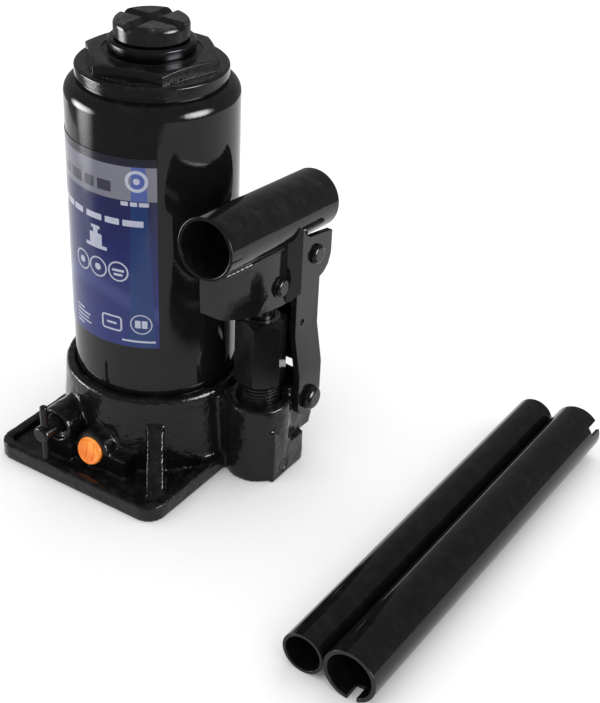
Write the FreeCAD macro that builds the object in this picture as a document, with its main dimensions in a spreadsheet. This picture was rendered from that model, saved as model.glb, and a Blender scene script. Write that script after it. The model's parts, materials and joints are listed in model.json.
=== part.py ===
"""Bottle jack: a hydraulic ram with an extension screw, a lever pump and a two-piece handle.

Frame: millimetres, +Z up, floor at Z = 0, the ram's axis is the Z axis. The handle socket opens
towards -Y and the pump stands on the +X side.
"""
import FreeCAD
import Part
import Sketcher
import math
import os

Vector = FreeCAD.Vector
Rotation = FreeCAD.Rotation

# ---------------------------------------------------------------- driving dimensions
SIZES = {
    # floor plate of the casting
    "plateHalfWidth": 49.0, "plateFront": 66.7, "plateBack": 50.0, "plateHeight": 8.4,
    "plateCorner": 9.0, "rimWidth": 5.0, "channelDepth": 3.2,
    # drum and collar that carry the tank
    "collarWall": 4.9, "collarFlare": 3.0, "collarTop": 45.0, "collarRound": 2.2,
    "seatHeight": 36.0, "collarGap": 0.25,
    # corner ribs, front block and valve boss of the casting
    "ribThickness": 8.0, "ribTop": 31.0, "ribReach": 68.0, "ribAngle": 53.0,
    "backRibAngle": 47.0, "backRibReach": 62.0,
    "blockLeft": 27.0, "blockRight": 20.0, "blockStand": 4.0, "blockTop": 15.6,
    "bossCover": 3.4, "webFoot": 0.6, "webStart": 34.0, "webWidth": 19.0, "webFront": 12.0,
    "webDrop": 2.0,
    # oil tank and its gaskets
    "tankRadius": 39.6, "tankWall": 3.0, "tankLength": 152.0, "tankShoulder": 6.5,
    "tankMouth": 30.3, "gasketThickness": 1.5, "topGasket": 2.0, "topGasketRadius": 33.6,
    # top nut
    "flangeRadius": 34.4, "flangeThickness": 5.0, "nutFlats": 55.5, "nutTurn": 16.0,
    "nutHexHeight": 5.5, "nutChamfer": 1.6, "skirtRadius": 29.8, "skirtDepth": 10.5,
    "nutRoof": 6.0, "wiperRadius": 22.3, "wiperHeight": 3.0,
    # pressure cylinder
    "cylinderRadius": 25.0, "cylinderBore": 20.1, "cylinderSeat": 26.0, "threadGap": 0.15,
    # ram
    "ramRadius": 19.6, "ramBottom": 30.0, "ramStand": 5.6, "guideGap": 0.08, "spigotRadius": 8.0,
    "pistonNutHeight": 5.0, "pistonNutFlats": 24.0, "pistonWasher": 2.0, "cupHeight": 7.0,
    "landLength": 24.4, "ramChamfer": 1.0,
    # extension screw with its saddle
    "saddleRadius": 16.9, "saddleHeight": 8.4, "saddleRound": 2.6, "grooveWidth": 7.5,
    "grooveDepth": 2.8, "screwRadius": 11.5, "screwThreadDepth": 1.4, "screwPitch": 3.0,
    "screwReach": 70.0, "ramThreadLength": 27.6, "ramWellRadius": 14.0, "wellRoom": 2.5,
    "stopPlay": 0.7, "clipCover": 1.6, "stopRadius": 13.6, "stopHeight": 5.0, "stopSpigot": 8.5,
    "clipThickness": 1.2,
    # pump
    "pumpStand": 20.4, "pumpY": 3.0, "bossRadius": 15.9, "bossTop": 41.5, "footOut": 15.5,
    "footFront": 8.6, "footBack": 17.5, "footTop": 29.0, "pumpThread": 10.0, "pumpPitch": 1.8,
    "pumpThreadDepth": 0.9, "pumpSeat": 17.0, "pumpWasher": 1.0, "pumpHexBottom": 51.5,
    "pumpHexTop": 86.5, "pumpFlats": 22.0, "pumpTurn": 48.6, "plungerRadius": 6.0,
    "plungerGap": 0.04, "sealRadius": 8.8, "sealHeight": 4.0, "sealCover": 1.5,
    "plungerBottom": 24.0,
    # lever linkage
    "pinZ": 104.5, "pinRadius": 3.5, "pinGap": 0.05, "tangThickness": 11.6, "tangRadius": 8.6,
    "slotShift": 1.0, "slotHalf": 1.25, "slotPlay": 0.3, "linkY": 23.0, "linkZ": 115.0,
    "lugZ": 36.0, "linkHalfWidth": 9.7, "linkThickness": 3.3, "linkInner": 9.2, "linkSpread": 3.5,
    "linkTip": 6.6, "linkTaper": 13.0, "linkWeb": 2.3, "linkWebFoot": 48.0,
    "linkWebTop": 104.0,
    "bendBottom": 52.0, "bendTop": 73.0, "lugPinRadius": 5.0, "lugHead": 6.2,
    "lugHeadHeight": 3.8, "lugBottom": 15.0, "lugGap": 0.25, "dimpleRadius": 1.6,
    # bracket under the handle socket
    "cheekHalf": 9.6, "noseHalf": 5.0, "sheet": 3.0, "noseY": -38.5, "shoulderY": -20.0,
    "joggleStart": 8.3, "joggleEnd": 11.2, "earGap": 0.3, "bracketBack": 36.2, "washerRadius": 5.3,
    "washerThickness": 0.9, "pinHead": 4.5, "pinHeadHeight": 1.8, "domeHead": 4.8,
    "domeHeight": 2.4, "clipRim": 1.6,
    # handle socket
    "socketZ": 139.2, "socketRadius": 14.3, "socketWall": 1.5, "socketFront": 41.8,
    "socketLength": 85.6, "socketTilt": 5.4,
    # valves
    "valveX": -18.0, "valveZ": 24.0, "valveBore": 4.6, "valveSeatY": 23.0, "valveStand": 9.5,
    "seatHole": 2.0,
    "valveReach": 10.5, "valveHead": 4.3, "crossPin": 1.9, "crossPinLength": 30.4,
    "crossPinReach": 6.8, "ringSection": 0.9, "ballRadius": 2.8,
    "plugX": 1.5, "plugZ": 16.0, "plugStand": 5.7, "plugRadius": 7.0, "plugDome": 2.4,
    "plugRim": 1.2, "reliefBore": 5.0, "reliefSeatY": 34.0, "reliefScrew": 6.0, "wireRadius": 0.5,
    "oilHole": 2.0, "dischargeX": 42.0, "dischargeY": -6.0, "chamberRadius": 4.0,
    "chamberTop": 14.0, "screenRadius": 3.6, "screenHeight": 1.0, "suctionX": 31.0,
    "fillerZ": 150.0, "fillerHole": 5.0, "fillerHead": 7.5, "fillerDome": 2.2,
    # label
    "labelBottom": 71.5, "labelTop": 166.6, "labelThickness": 0.15, "labelGap": 0.1,
    "labelStart": -146.5, "labelSweep": 97.0,
    # handle rods
    "thinRodRadius": 10.0, "thinRodWall": 1.6, "thinRodLength": 214.0, "thinRodX": 157.9,
    "thinRodY": 4.0, "thickRodRadius": 12.5, "thickRodWall": 2.0, "thickRodLength": 215.5,
    "thickRodX": 181.2, "thickRodY": 2.9, "rodYaw": 1.2, "notchWidth": 4.6, "notchDepth": 8.0,
}

doc = FreeCAD.newDocument("BottleJack")
sheet = doc.addObject("Spreadsheet::Sheet", "Dims")


class Size:
    """A number together with the sheet expression that it comes from."""

    def __init__(self, value, text):
        self.value = float(value)
        self.text = text

    def __add__(self, other):
        other = as_size(other)
        return Size(self.value + other.value, "(%s + %s)" % (self.text, other.text))

    def __sub__(self, other):
        other = as_size(other)
        return Size(self.value - other.value, "(%s - %s)" % (self.text, other.text))

    def __mul__(self, other):
        other = as_size(other)
        return Size(self.value * other.value, "(%s * %s)" % (self.text, other.text))

    def __truediv__(self, other):
        other = as_size(other)
        return Size(self.value / other.value, "(%s / %s)" % (self.text, other.text))

    def __neg__(self):
        return Size(-self.value, "(0 - %s)" % self.text)

    __radd__ = __add__

    def __rsub__(self, other):
        return as_size(other) - self

    __rmul__ = __mul__


def as_size(number):
    return number if isinstance(number, Size) else Size(number, repr(float(number)))


class Sizes:
    """The driving dimensions by name."""


def fill_sheet():
    named = Sizes()
    for row, (alias, value) in enumerate(SIZES.items(), start=1):
        cell = "B%d" % row
        sheet.set("A%d" % row, alias)
        sheet.set(cell, str(value))
        sheet.setAlias(cell, alias)
        setattr(named, alias, Size(value, "Dims." + alias))
    doc.recompute()
    return named


d = fill_sheet()


# ---------------------------------------------------------------- building blocks
def bind(thing, prop, size):
    """Set a property to a plain number, or tie it to the sheet."""
    size = as_size(size)
    if "Dims." in size.text:
        thing.setExpression(prop, size.text)
    elif "." not in prop:
        setattr(thing, prop, size.value)
    else:
        thing.setExpression(prop, size.text)


def place(thing, at, rotation=None):
    """Move a thing to a place whose coordinates are tied to the sheet."""
    if rotation is not None:
        thing.Placement = FreeCAD.Placement(Vector(0, 0, 0), rotation)
    for axis, size in zip("xyz", at):
        bind(thing, "Placement.Base." + axis, size)


def origin_plane(body, name):
    return [item for item in body.Origin.OriginFeatures if item.Role == name + "_Plane"][0]


def outline(body, plane, points):
    """A closed sketch of straight lines through points tied to the sheet."""
    sketch = body.newObject("Sketcher::SketchObject", "Outline")
    sketch.AttachmentSupport = [(origin_plane(body, plane), "")]
    sketch.MapMode = "FlatFace"
    points = [(as_size(a), as_size(b)) for a, b in points]
    flat = [Vector(a.value, b.value, 0) for a, b in points]
    count = len(flat)
    for index in range(count):
        sketch.addGeometry(Part.LineSegment(flat[index], flat[(index + 1) % count]), False)
    for index in range(count):
        sketch.addConstraint(Sketcher.Constraint("Coincident", index, 2, (index + 1) % count, 1))
    for index, (a, b) in enumerate(points):
        for kind, size, axis in (("DistanceX", a, -2), ("DistanceY", b, -1)):
            if size.value == 0:
                sketch.addConstraint(Sketcher.Constraint("PointOnObject", index, 1, axis))
                continue
            number = sketch.addConstraint(
                Sketcher.Constraint(kind, -1, 1, index, 1, size.value))
            if "Dims." in size.text:
                sketch.setExpression("Constraints[%d]" % number, size.text)
    return sketch


def lathe(label, profile, at=(0, 0, 0), rotation=None):
    """A body turned about Z from a half profile of (radius, height) points."""
    body = doc.addObject("PartDesign::Body", "Body")
    body.Label = label
    sketch = outline(body, "XZ", profile)
    turned = body.newObject("PartDesign::Revolution", "Turned")
    turned.Profile = sketch
    turned.ReferenceAxis = (sketch, ["V_Axis"])
    turned.Angle = 360
    place(body, at, rotation)
    doc.recompute()
    return body


def prism(label, points, depth, plane="XY", at=(0, 0, 0)):
    """A body padded from a closed outline on an origin plane."""
    body = doc.addObject("PartDesign::Body", "Body")
    body.Label = label
    sketch = outline(body, plane, points)
    pad = body.newObject("PartDesign::Pad", "Pad")
    pad.Profile = sketch
    bind(pad, "Length", depth)
    place(body, at)
    doc.recompute()
    return body


def edges_where(shape, test):
    return ["Edge%d" % number for number, edge in enumerate(shape.Edges, start=1) if test(edge)]


def soften(body, kind, size, test):
    """Fillet or chamfer the edges of a body's last feature that pass a test."""
    tip = body.Tip
    names = edges_where(tip.Shape, test)
    feature = body.newObject("PartDesign::" + kind, kind)
    feature.Base = (tip, names)
    bind(feature, "Radius" if kind == "Fillet" else "Size", size)
    doc.recompute()
    return body


def ring_edge(radius, height):
    """A test for the circular edge of one radius at one height."""
    radius, height = as_size(radius).value, as_size(height).value

    def test(edge):
        curve = edge.Curve
        return (isinstance(curve, Part.Circle) and abs(curve.Radius - radius) < 1e-3
                and abs(curve.Center.z - height) < 1e-3)
    return test


def upright(edge):
    ends = [vertex.Point for vertex in edge.Vertexes]
    return len(ends) == 2 and (ends[0] - ends[1]).cross(Vector(0, 0, 1)).Length < 1e-6


UP = Rotation()
ALONG_X = Rotation(Vector(0, 1, 0), 90)
ALONG_Y = Rotation(Vector(1, 0, 0), -90)
TO_FRONT = Rotation(Vector(1, 0, 0), 90)


def cylinder(radius, length, at, rotation=UP, label=None):
    rod = doc.addObject("Part::Cylinder", "Cylinder")
    bind(rod, "Radius", radius)
    bind(rod, "Height", length)
    place(rod, at, rotation)
    if label:
        rod.Label = label
    return rod


def block(size_x, size_y, size_z, at, rotation=None):
    part = doc.addObject("Part::Box", "Block")
    bind(part, "Length", size_x)
    bind(part, "Width", size_y)
    bind(part, "Height", size_z)
    place(part, at, rotation)
    return part


def hexagon(flats, height, at, turn):
    part = doc.addObject("Part::Prism", "Hexagon")
    part.Polygon = 6
    part.setExpression("Circumradius", "%s / sqrt(3)" % as_size(flats).text)
    bind(part, "Height", height)
    place(part, at, Rotation(Vector(0, 0, 1), as_size(turn).value))
    return part


def sphere(radius, at, label=None):
    part = doc.addObject("Part::Sphere", "Ball")
    bind(part, "Radius", radius)
    place(part, at)
    if label:
        part.Label = label
    return part


def passage(radius, start, end):
    """A drilled oil way between two points."""
    start = [as_size(number) for number in start]
    end = [as_size(number) for number in end]
    run = Vector(*[b.value - a.value for a, b in zip(start, end)])
    return cylinder(radius, run.Length, start, Rotation(Vector(0, 0, 1), run))


def fuse(parts, label=None):
    joined = doc.addObject("Part::MultiFuse", "Joined")
    joined.Shapes = parts
    joined.Refine = True
    if label:
        joined.Label = label
    return joined


def cut(base, tools, label=None):
    result = doc.addObject("Part::Cut", "Cut")
    result.Base = base
    result.Tool = tools[0] if len(tools) == 1 else fuse(tools)
    if label:
        result.Label = label
    return result


def common(first, second, label=None):
    result = doc.addObject("Part::MultiCommon", "Common")
    result.Shapes = [first, second]
    if label:
        result.Label = label
    return result


def feature(label, shape):
    """A sub-part whose shape Part's own functions make."""
    part = doc.addObject("Part::Feature", "Shape")
    part.Shape = shape
    part.Label = label
    return part


def coil(label, radius, wire, start, end, turns, at, rotation):
    """A compression spring along its own Z axis."""
    pitch = (end - start) / turns
    path = Part.makeHelix(pitch, end - start, radius)
    section = Part.Wire([Part.makeCircle(wire, Vector(radius, 0, 0), Vector(0, 1, 0))])
    spring = Part.Wire(path.Edges).makePipeShell([section], True, True)
    if spring.Volume < 0:
        spring.reverse()
    part = feature(label, spring)
    foot = Vector(*at) + rotation.multVec(Vector(0, 0, start))
    part.Placement = FreeCAD.Placement(foot, rotation)
    return part


def thread_profile(major, depth, pitch, low, high):
    """Points of a ridged edge from low to high, for a thread cut as rings."""
    points = []
    height = low
    while height + pitch <= high:
        points += [(major - depth, height), (major - depth, height + 0.25 * pitch),
                   (major, height + 0.5 * pitch), (major, height + 0.75 * pitch)]
        height += pitch
    return points + [(major - depth, height), (major - depth, high)]


def turned_shape(points):
    corners = [Vector(radius, 0, height) for radius, height in points]
    face = Part.Face(Part.makePolygon(corners + corners[:1]))
    return face.revolve(Vector(0, 0, 0), Vector(0, 0, 1), 360)


NODES = []


def node(part, name):
    """Name a finished sub-part and put it on the list to write."""
    part.Label = name
    NODES.append(part)
    return part


# ---------------------------------------------------------------- levels that pieces share
collarRadius = d.tankRadius + d.collarWall
collarFoot = collarRadius + d.collarFlare
blockFront = collarFoot + d.blockStand
plugFace = collarFoot + d.plugStand
valveFace = collarFoot + d.valveStand
valveEnd = valveFace + d.valveReach
crossPinY = valveFace + d.crossPinReach
pumpX = d.tankRadius + d.pumpStand
tankBottom = d.seatHeight + d.gasketThickness
tankTop = tankBottom + d.tankLength
flangeBottom = tankTop + d.topGasket
flangeTop = flangeBottom + d.flangeThickness
nutTop = flangeTop + d.nutHexHeight
ramTop = nutTop + d.ramStand
saddleTop = ramTop + d.saddleHeight
screwLow = ramTop - d.ramThreadLength - d.screwReach - d.stopPlay
screwEnd = screwLow - d.stopHeight - d.clipThickness - d.clipCover
roofUnder = nutTop - d.nutRoof
skirtBottom = flangeBottom - d.skirtDepth
cylinderBottom = d.cylinderSeat + d.gasketThickness
landBottom = d.ramBottom + d.pistonNutHeight + d.pistonWasher + d.cupHeight
landTop = landBottom + d.landLength
lowerInner = d.linkInner + d.linkSpread
earInner = d.linkInner + d.linkThickness + d.earGap
earOuter = earInner + d.sheet
pumpBossSide = pumpX + d.footOut
channelFloor = d.plateHeight - d.channelDepth
OVER = 1.0          # how far a cutting tool runs past a face


# ---------------------------------------------------------------- casting
def floor_plate():
    left, right = -d.plateHalfWidth, d.plateHalfWidth
    front, back = -d.plateFront, d.plateBack
    plate = prism("plate", [(left, front), (right, front), (right, back), (left, back)],
                  d.plateHeight)
    soften(plate, "Fillet", d.plateCorner, upright)
    inner = [(left + d.rimWidth, front + d.rimWidth), (right - d.rimWidth, front + d.rimWidth),
             (right - d.rimWidth, back - d.rimWidth), (left + d.rimWidth, back - d.rimWidth)]
    channel = prism("channel", inner, d.channelDepth + OVER, at=(0, 0, channelFloor))
    soften(channel, "Fillet", d.plateCorner - d.rimWidth, upright)
    return cut(plate, [channel])


def drum():
    body = lathe("drum", [(0, 0), (collarFoot, 0), (collarRadius, d.collarTop), (0, d.collarTop)])
    return soften(body, "Fillet", d.collarRound, ring_edge(collarRadius, d.collarTop))


def rib(angle, reach):
    """A web from the drum down to the floor plate, seen from above at an angle."""
    start = collarRadius - 6.0
    web = prism("rib", [(start, d.webFoot), (reach, d.webFoot), (reach, channelFloor + 1.2),
                        (collarRadius + 2.5, d.ribTop), (start, d.ribTop + 3.0)],
                d.ribThickness, plane="XZ")
    turn = math.radians(angle)
    shift = d.ribThickness / 2
    place(web, (shift * -math.sin(turn), shift * math.cos(turn), 0),
          Rotation(Vector(0, 0, 1), angle))
    return web


def front_bosses():
    """The wall at the front, with the bosses of the safety valve and the release valve."""
    wall = block(d.blockLeft + d.blockRight, blockFront, d.blockTop - d.webFoot,
                 (-d.blockLeft, -blockFront, d.webFoot))
    relief_boss = cylinder(d.plugRadius + 2.6, plugFace, (d.plugX, 0, d.plugZ), TO_FRONT)
    valve_boss = cylinder(d.valveBore + d.bossCover + 1.2, valveFace,
                          (d.valveX, 0, d.valveZ), TO_FRONT)
    under_valve = block((d.valveBore + d.bossCover) * 2, valveFace - 1.5, d.valveZ,
                        (d.valveX - d.valveBore - d.bossCover, -valveFace + 1.5, d.webFoot))
    return [wall, relief_boss, valve_boss, under_valve]


def pump_side():
    boss = cylinder(d.bossRadius - 0.3, d.bossTop, (pumpX, d.pumpY, 0))
    web = block(pumpX - d.webStart, d.webWidth, d.bossTop - d.webDrop,
                (d.webStart, d.pumpY - d.webFront, 0))
    front, back = d.pumpY - d.footFront, d.pumpY + d.footBack
    foot = prism("foot", [(front, 0), (back, 0), (back, d.lugBottom + 2.0),
                          (d.pumpY + 6.0, d.lugBottom + 2.0), (front, d.footTop)],
                 d.footOut, plane="YZ", at=(pumpX, 0, 0))
    low, high = d.linkY - d.linkHalfWidth - 3.0, d.linkY + d.linkHalfWidth + 0.8
    top = d.lugZ + d.linkHalfWidth
    lug_half = lowerInner - d.lugGap
    lug = prism("lug", [(low, d.lugBottom), (high - 3.0, d.lugBottom), (high, d.lugBottom + 8.0),
                        (high, d.lugZ + 2.0), (high - 5.0, top), (low, top)],
                lug_half * 2, plane="YZ", at=(pumpX - lug_half, 0, 0))
    return [boss, web, foot, lug]


def casting():
    solid = fuse([floor_plate(), drum(), rib(-d.ribAngle.value, d.ribReach),
                  rib(180 - d.backRibAngle.value, d.backRibReach),
                  rib(d.backRibAngle.value, d.backRibReach)]
                 + front_bosses() + pump_side())
    tools = [
        cylinder(d.tankRadius + d.collarGap, d.collarTop - d.seatHeight + OVER,
                 (0, 0, d.seatHeight)),
        cylinder(d.cylinderRadius + d.threadGap, d.seatHeight - d.cylinderSeat + OVER,
                 (0, 0, d.cylinderSeat)),
        cylinder(d.oilHole + 0.5, d.cylinderSeat - 8.0 + OVER, (0, 0, 8.0)),
        cylinder(d.pumpThread + d.threadGap,
                 d.lugZ + d.linkHalfWidth - d.pumpSeat + OVER,
                 (pumpX, d.pumpY, d.pumpSeat)),
        block(4.6, d.linkHalfWidth * 2 + 4.0, d.collarTop - 20.0,
              (pumpX - lowerInner - d.linkThickness - 1.2, d.linkY - d.linkHalfWidth - 2.0,
               22.0)),
        cylinder(d.lugPinRadius + d.pinGap, lowerInner * 2,
                 (pumpX - lowerInner, d.linkY, d.lugZ), ALONG_X),
    ]
    return cut(solid, tools + suction_ways() + discharge_ways() + relief_ways()
               + release_ways(), "base_casting")


SUCTION_Z = 6.0
VALVE_SEAT_Z = 10.0


def suction_ways():
    return [
        cylinder(d.chamberRadius, d.pumpSeat - VALVE_SEAT_Z + OVER,
                 (pumpX, d.pumpY, VALVE_SEAT_Z)),
        cylinder(d.oilHole, VALVE_SEAT_Z - SUCTION_Z + OVER, (pumpX, d.pumpY, SUCTION_Z)),
        cylinder(d.oilHole, pumpX + d.footOut - d.suctionX, (d.suctionX, d.pumpY, SUCTION_Z),
                 ALONG_X),
        cylinder(d.oilHole + 1.0, 6.0 + OVER, (pumpBossSide - 6.0, d.pumpY, SUCTION_Z),
                 ALONG_X),
        cylinder(d.oilHole, d.seatHeight - SUCTION_Z + OVER, (d.suctionX, d.pumpY, SUCTION_Z)),
    ]


def discharge_ways():
    return [
        cylinder(d.chamberRadius, d.chamberTop + OVER, (d.dischargeX, d.dischargeY, -OVER)),
        cylinder(d.oilHole - 0.4, 4.0 + OVER, (d.dischargeX, d.dischargeY, d.chamberTop - OVER)),
        passage(d.oilHole - 0.7, (pumpX, d.pumpY, 13.0),
                (d.dischargeX, d.dischargeY, d.chamberTop + 4.0)),
        passage(d.oilHole - 0.4, (d.dischargeX, d.dischargeY, 8.0), (0, 0, 10.0)),
    ]


def relief_ways():
    return [
        cylinder(d.reliefBore, plugFace - d.reliefSeatY + OVER,
                 (d.plugX, -d.reliefSeatY, d.plugZ), TO_FRONT),
        cylinder(d.oilHole, d.reliefSeatY + OVER, (d.plugX, 0, d.plugZ), TO_FRONT),
    ]


def release_ways():
    return [
        cylinder(d.valveBore, valveFace - d.valveSeatY + OVER,
                 (d.valveX, -d.valveSeatY, d.valveZ), TO_FRONT),
        cylinder(d.valveBore + 2.6, 2.5 + OVER, (d.valveX, -valveFace + 2.5, d.valveZ),
                 TO_FRONT),
        cylinder(d.oilHole - 0.4, d.seatHole + OVER,
                 (d.valveX, -d.valveSeatY + d.seatHole, d.valveZ), TO_FRONT),
        passage(d.oilHole - 0.4, (d.valveX, -d.valveSeatY + d.seatHole, d.valveZ),
                (0, 0, 14.0)),
        cylinder(d.oilHole - 0.2, d.seatHeight - d.valveZ + OVER,
                 (d.valveX, -d.valveSeatY - 4.5, d.valveZ)),
    ]


# ---------------------------------------------------------------- tank, cylinder and nut
def ring(label, inner, outer, bottom, top, at=(0, 0, 0), rotation=None):
    return lathe(label, [(inner, bottom), (outer, bottom), (outer, top), (inner, top)],
                 at, rotation)


def tank():
    inside = d.tankRadius - d.tankWall
    body = lathe("tank", [(inside, tankBottom), (d.tankRadius, tankBottom),
                          (d.tankRadius, tankTop), (d.tankMouth, tankTop),
                          (d.tankMouth, tankTop - d.tankWall), (inside, tankTop - d.tankWall)])
    soften(body, "Fillet", d.tankShoulder, ring_edge(d.tankRadius, tankTop))
    soften(body, "Fillet", d.tankShoulder - d.tankWall,
           ring_edge(inside, tankTop - d.tankWall))
    hole = cylinder(d.fillerHole, d.tankRadius + OVER, (0, 0, d.fillerZ), ALONG_Y)
    return cut(body, [hole])


def filler_plug():
    face = d.tankRadius + 0.05
    plug = lathe("filler", [(0, d.tankRadius - d.tankWall - 1.0),
                            (d.fillerHole - 0.1, d.tankRadius - d.tankWall - 1.0),
                            (d.fillerHole - 0.1, face), (d.fillerHead, face),
                            (d.fillerHead, face + d.fillerDome), (0, face + d.fillerDome)],
                 (0, 0, d.fillerZ), ALONG_Y)
    return soften(plug, "Fillet", d.fillerDome * 0.8,
                  ring_edge(d.fillerHead, face + d.fillerDome))


def label_skin():
    """A thin printed sheet wrapped on the front left of the tank."""
    height = d.labelTop - d.labelBottom
    outer = cylinder(d.tankRadius + d.labelGap + d.labelThickness, height, (0, 0, d.labelBottom))
    inner = cylinder(d.tankRadius + d.labelGap, height + OVER * 2, (0, 0, d.labelBottom - OVER))
    bind(outer, "Angle", d.labelSweep)
    outer.Placement.Rotation = Rotation(Vector(0, 0, 1), d.labelStart.value)
    return cut(outer, [inner])


def top_nut():
    body = lathe("nut_body", [(0, skirtBottom), (d.skirtRadius, skirtBottom),
                              (d.skirtRadius, flangeBottom), (d.flangeRadius, flangeBottom),
                              (d.flangeRadius, flangeTop), (0, flangeTop)])
    soften(body, "Chamfer", 0.9, ring_edge(d.flangeRadius, flangeTop))
    head = hexagon(d.nutFlats, d.nutHexHeight, (0, 0, flangeTop), d.nutTurn)
    corner = d.nutFlats / math.sqrt(3)
    crown = lathe("nut_crown", [(0, flangeTop), (corner, flangeTop),
                                (corner, nutTop - d.nutChamfer),
                                (d.nutFlats / 2 - 0.4, nutTop), (0, nutTop)])
    solid = fuse([body, common(head, crown)])
    return cut(solid, [
        cylinder(d.cylinderRadius + d.threadGap, roofUnder - skirtBottom + OVER,
                 (0, 0, skirtBottom - OVER)),
        cylinder(d.ramRadius + d.guideGap, d.nutRoof + OVER * 2, (0, 0, roofUnder - OVER)),
        cylinder(d.wiperRadius, d.wiperHeight + OVER, (0, 0, nutTop - d.wiperHeight)),
    ])


# ---------------------------------------------------------------- ram and extension screw
def ram():
    land = d.cylinderBore - d.guideGap
    thread = d.screwRadius + d.threadGap
    top, well = ramTop - d.ramThreadLength, screwEnd - d.wellRoom
    body = lathe("ram", [(0, d.ramBottom), (d.spigotRadius, d.ramBottom),
                         (d.spigotRadius, landBottom), (land, landBottom), (land, landTop),
                         (d.ramRadius, landTop), (d.ramRadius, ramTop), (thread, ramTop),
                         (thread, top), (d.ramWellRadius, top), (d.ramWellRadius, well),
                         (0, well)])
    return soften(body, "Chamfer", d.ramChamfer, ring_edge(d.ramRadius, ramTop))


def saddle_groove(plane, at):
    half, foot = d.grooveWidth / 2, d.grooveWidth / 5
    top = saddleTop + OVER
    return prism("groove", [(-half, top), (-foot, saddleTop - d.grooveDepth),
                            (foot, saddleTop - d.grooveDepth), (half, top)],
                 d.saddleRadius * 2 + OVER * 2, plane, at)


def extension_screw():
    head = lathe("saddle", [(0, ramTop), (d.saddleRadius, ramTop),
                            (d.saddleRadius, saddleTop), (0, saddleTop)])
    soften(head, "Fillet", d.saddleRound, ring_edge(d.saddleRadius, saddleTop))
    soften(head, "Chamfer", 0.8, ring_edge(d.saddleRadius, ramTop))
    low, end = screwLow.value, screwEnd.value
    spigot = d.stopSpigot.value
    ridges = thread_profile(d.screwRadius.value, d.screwThreadDepth.value, d.screwPitch.value,
                            low + 0.2, ramTop.value + 1)
    groove_top = low - d.stopHeight.value - 0.15
    groove_low = groove_top - d.clipThickness.value - 0.1
    shaft = [(0, end), (spigot, end), (spigot, groove_low), (spigot - 0.9, groove_low),
             (spigot - 0.9, groove_top), (spigot, groove_top), (spigot, low + 0.2)]
    shaft += ridges + [(0, ramTop.value + 1)]
    threaded = feature("screw_shaft", turned_shape(shaft))
    reach = d.saddleRadius + OVER
    return cut(fuse([head, threaded]),
               [saddle_groove("XZ", (0, reach, 0)), saddle_groove("YZ", (-reach, 0, 0))])


def screw_pieces():
    stop = ring("stop", d.stopSpigot + d.threadGap, d.stopRadius,
                screwLow - 0.1 - d.stopHeight, screwLow - 0.1)
    clip_top = screwLow - d.stopHeight - 0.2
    clip = ring("clip", d.stopSpigot - 0.85, d.stopSpigot + 2.2, clip_top - d.clipThickness,
                clip_top)
    return stop, clip


# ---------------------------------------------------------------- pump
def pump_cylinder():
    hexed = hexagon(d.pumpFlats, d.pumpHexTop - d.pumpHexBottom,
                    (pumpX, d.pumpY, d.pumpHexBottom), d.pumpTurn)
    corner = d.pumpFlats / math.sqrt(3)
    flat = d.pumpFlats / 2
    crown = lathe("pump_crown", [(0, d.pumpHexBottom), (flat - 0.6, d.pumpHexBottom),
                                 (corner, d.pumpHexBottom + 1.3), (corner, d.pumpHexTop - 2.0),
                                 (flat - 1.2, d.pumpHexTop), (0, d.pumpHexTop)],
                  (pumpX, d.pumpY, 0))
    low = d.pumpSeat.value + d.pumpWasher.value
    major, high = d.pumpThread.value, d.pumpHexBottom.value + 1
    ridges = thread_profile(major, d.pumpThreadDepth.value, d.pumpPitch.value,
                            d.bossTop.value - 2.0, high)
    threaded = feature("pump_thread", turned_shape(
        [(0, low), (major, low), (major, d.bossTop.value - 2.0)] + ridges + [(0, high)]))
    place(threaded, (pumpX, d.pumpY, 0))
    bore = cylinder(d.plungerRadius + d.plungerGap, d.pumpHexTop, (pumpX, d.pumpY, 0))
    seal_seat = cylinder(d.sealRadius, d.sealHeight + d.sealCover + OVER,
                         (pumpX, d.pumpY, d.pumpHexTop - d.sealHeight - d.sealCover))
    return cut(fuse([common(hexed, crown), threaded]), [bore, seal_seat])


def plunger():
    shaft = cylinder(d.plungerRadius, d.pinZ - d.tangRadius - d.plungerBottom + 3.0,
                     (pumpX, d.pumpY, d.plungerBottom))
    half = d.tangThickness / 2
    eye = cylinder(d.tangRadius, d.tangThickness, (pumpX - half, d.pumpY, d.pinZ), ALONG_X)
    neck = block(d.tangThickness, d.plungerRadius * 2 - 1.0, d.tangRadius,
                 (pumpX - half, d.pumpY - d.plungerRadius + 0.5, d.pinZ - d.tangRadius))
    hole = d.pinRadius + d.slotPlay
    middle = d.pumpY - d.slotShift
    length = d.tangThickness + OVER * 2
    slot = [cylinder(hole, length, (pumpX - half - OVER, middle - d.slotHalf, d.pinZ), ALONG_X),
            cylinder(hole, length, (pumpX - half - OVER, middle + d.slotHalf, d.pinZ), ALONG_X),
            block(length, d.slotHalf * 2, hole * 2,
                  (pumpX - half - OVER, middle - d.slotHalf, d.pinZ - hole))]
    return cut(fuse([shaft, eye, neck]), slot)


# ---------------------------------------------------------------- linkage
def headed_pin(radius, reach, head, height, y, z):
    """A pin across the pump's middle plane: head on the +X side, clip groove on the other."""
    near = reach + 0.1
    far = near + d.clipThickness + 0.1
    pin = lathe("pin", [(0, -far - 1.4), (radius, -far - 1.4), (radius, -far),
                        (radius - 0.8, -far), (radius - 0.8, -near), (radius, -near),
                        (radius, reach), (head, reach), (head, reach + height),
                        (0, reach + height)], (pumpX, y, z), ALONG_X)
    soften(pin, "Fillet", height * 0.7, ring_edge(head, reach + height))
    clip = ring("clip", radius - 0.75, radius + d.clipRim, -far + 0.05, -near - 0.05,
                (pumpX, y, z), ALONG_X)
    return pin, clip


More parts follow.
